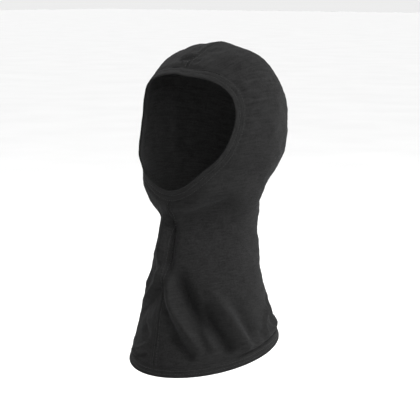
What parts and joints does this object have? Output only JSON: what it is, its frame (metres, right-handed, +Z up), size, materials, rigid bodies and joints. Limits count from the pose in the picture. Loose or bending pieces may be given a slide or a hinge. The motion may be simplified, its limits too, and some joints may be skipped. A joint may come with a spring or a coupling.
{
  "type": "balaclava",
  "caption": "Close-fitting knitted balaclava: a hood with a bound face opening, a narrowed neck and a bib that flares to a bound hem, seamed down the centre.",
  "frame": {"origin": "inside of the crown, on the centre seam, where the top of the head touches the hood", "axes": "+Z up towards the crown, -Y the way the face looks, +X towards the wearer's left"},
  "size_m": [0.179, 0.2053, 0.3818],
  "materials": {
    "hood_knit": "matt brushed fine knit, heathered charcoal",
    "binding_knit": "matt smooth knit strip",
    "sewing_thread": "low-sheen spun polyester thread",
    "label_tape": "plain blank woven tape"
  },
  "bodies": {
    "root": {"left_panel": "hood_knit", "right_panel": "hood_knit", "face_binding": "binding_knit", "hem_binding": "binding_knit", "face_stitch_inner": "sewing_thread", "face_stitch_outer": "sewing_thread", "hem_stitch_upper": "sewing_thread", "hem_stitch_lower": "sewing_thread", "front_seam_thread_left": "sewing_thread", "front_seam_thread_right": "sewing_thread", "crown_seam_thread_left": "sewing_thread", "crown_seam_thread_right": "sewing_thread", "care_label": "label_tape", "label_stitch": "sewing_thread"}
  },
  "joints": []
}
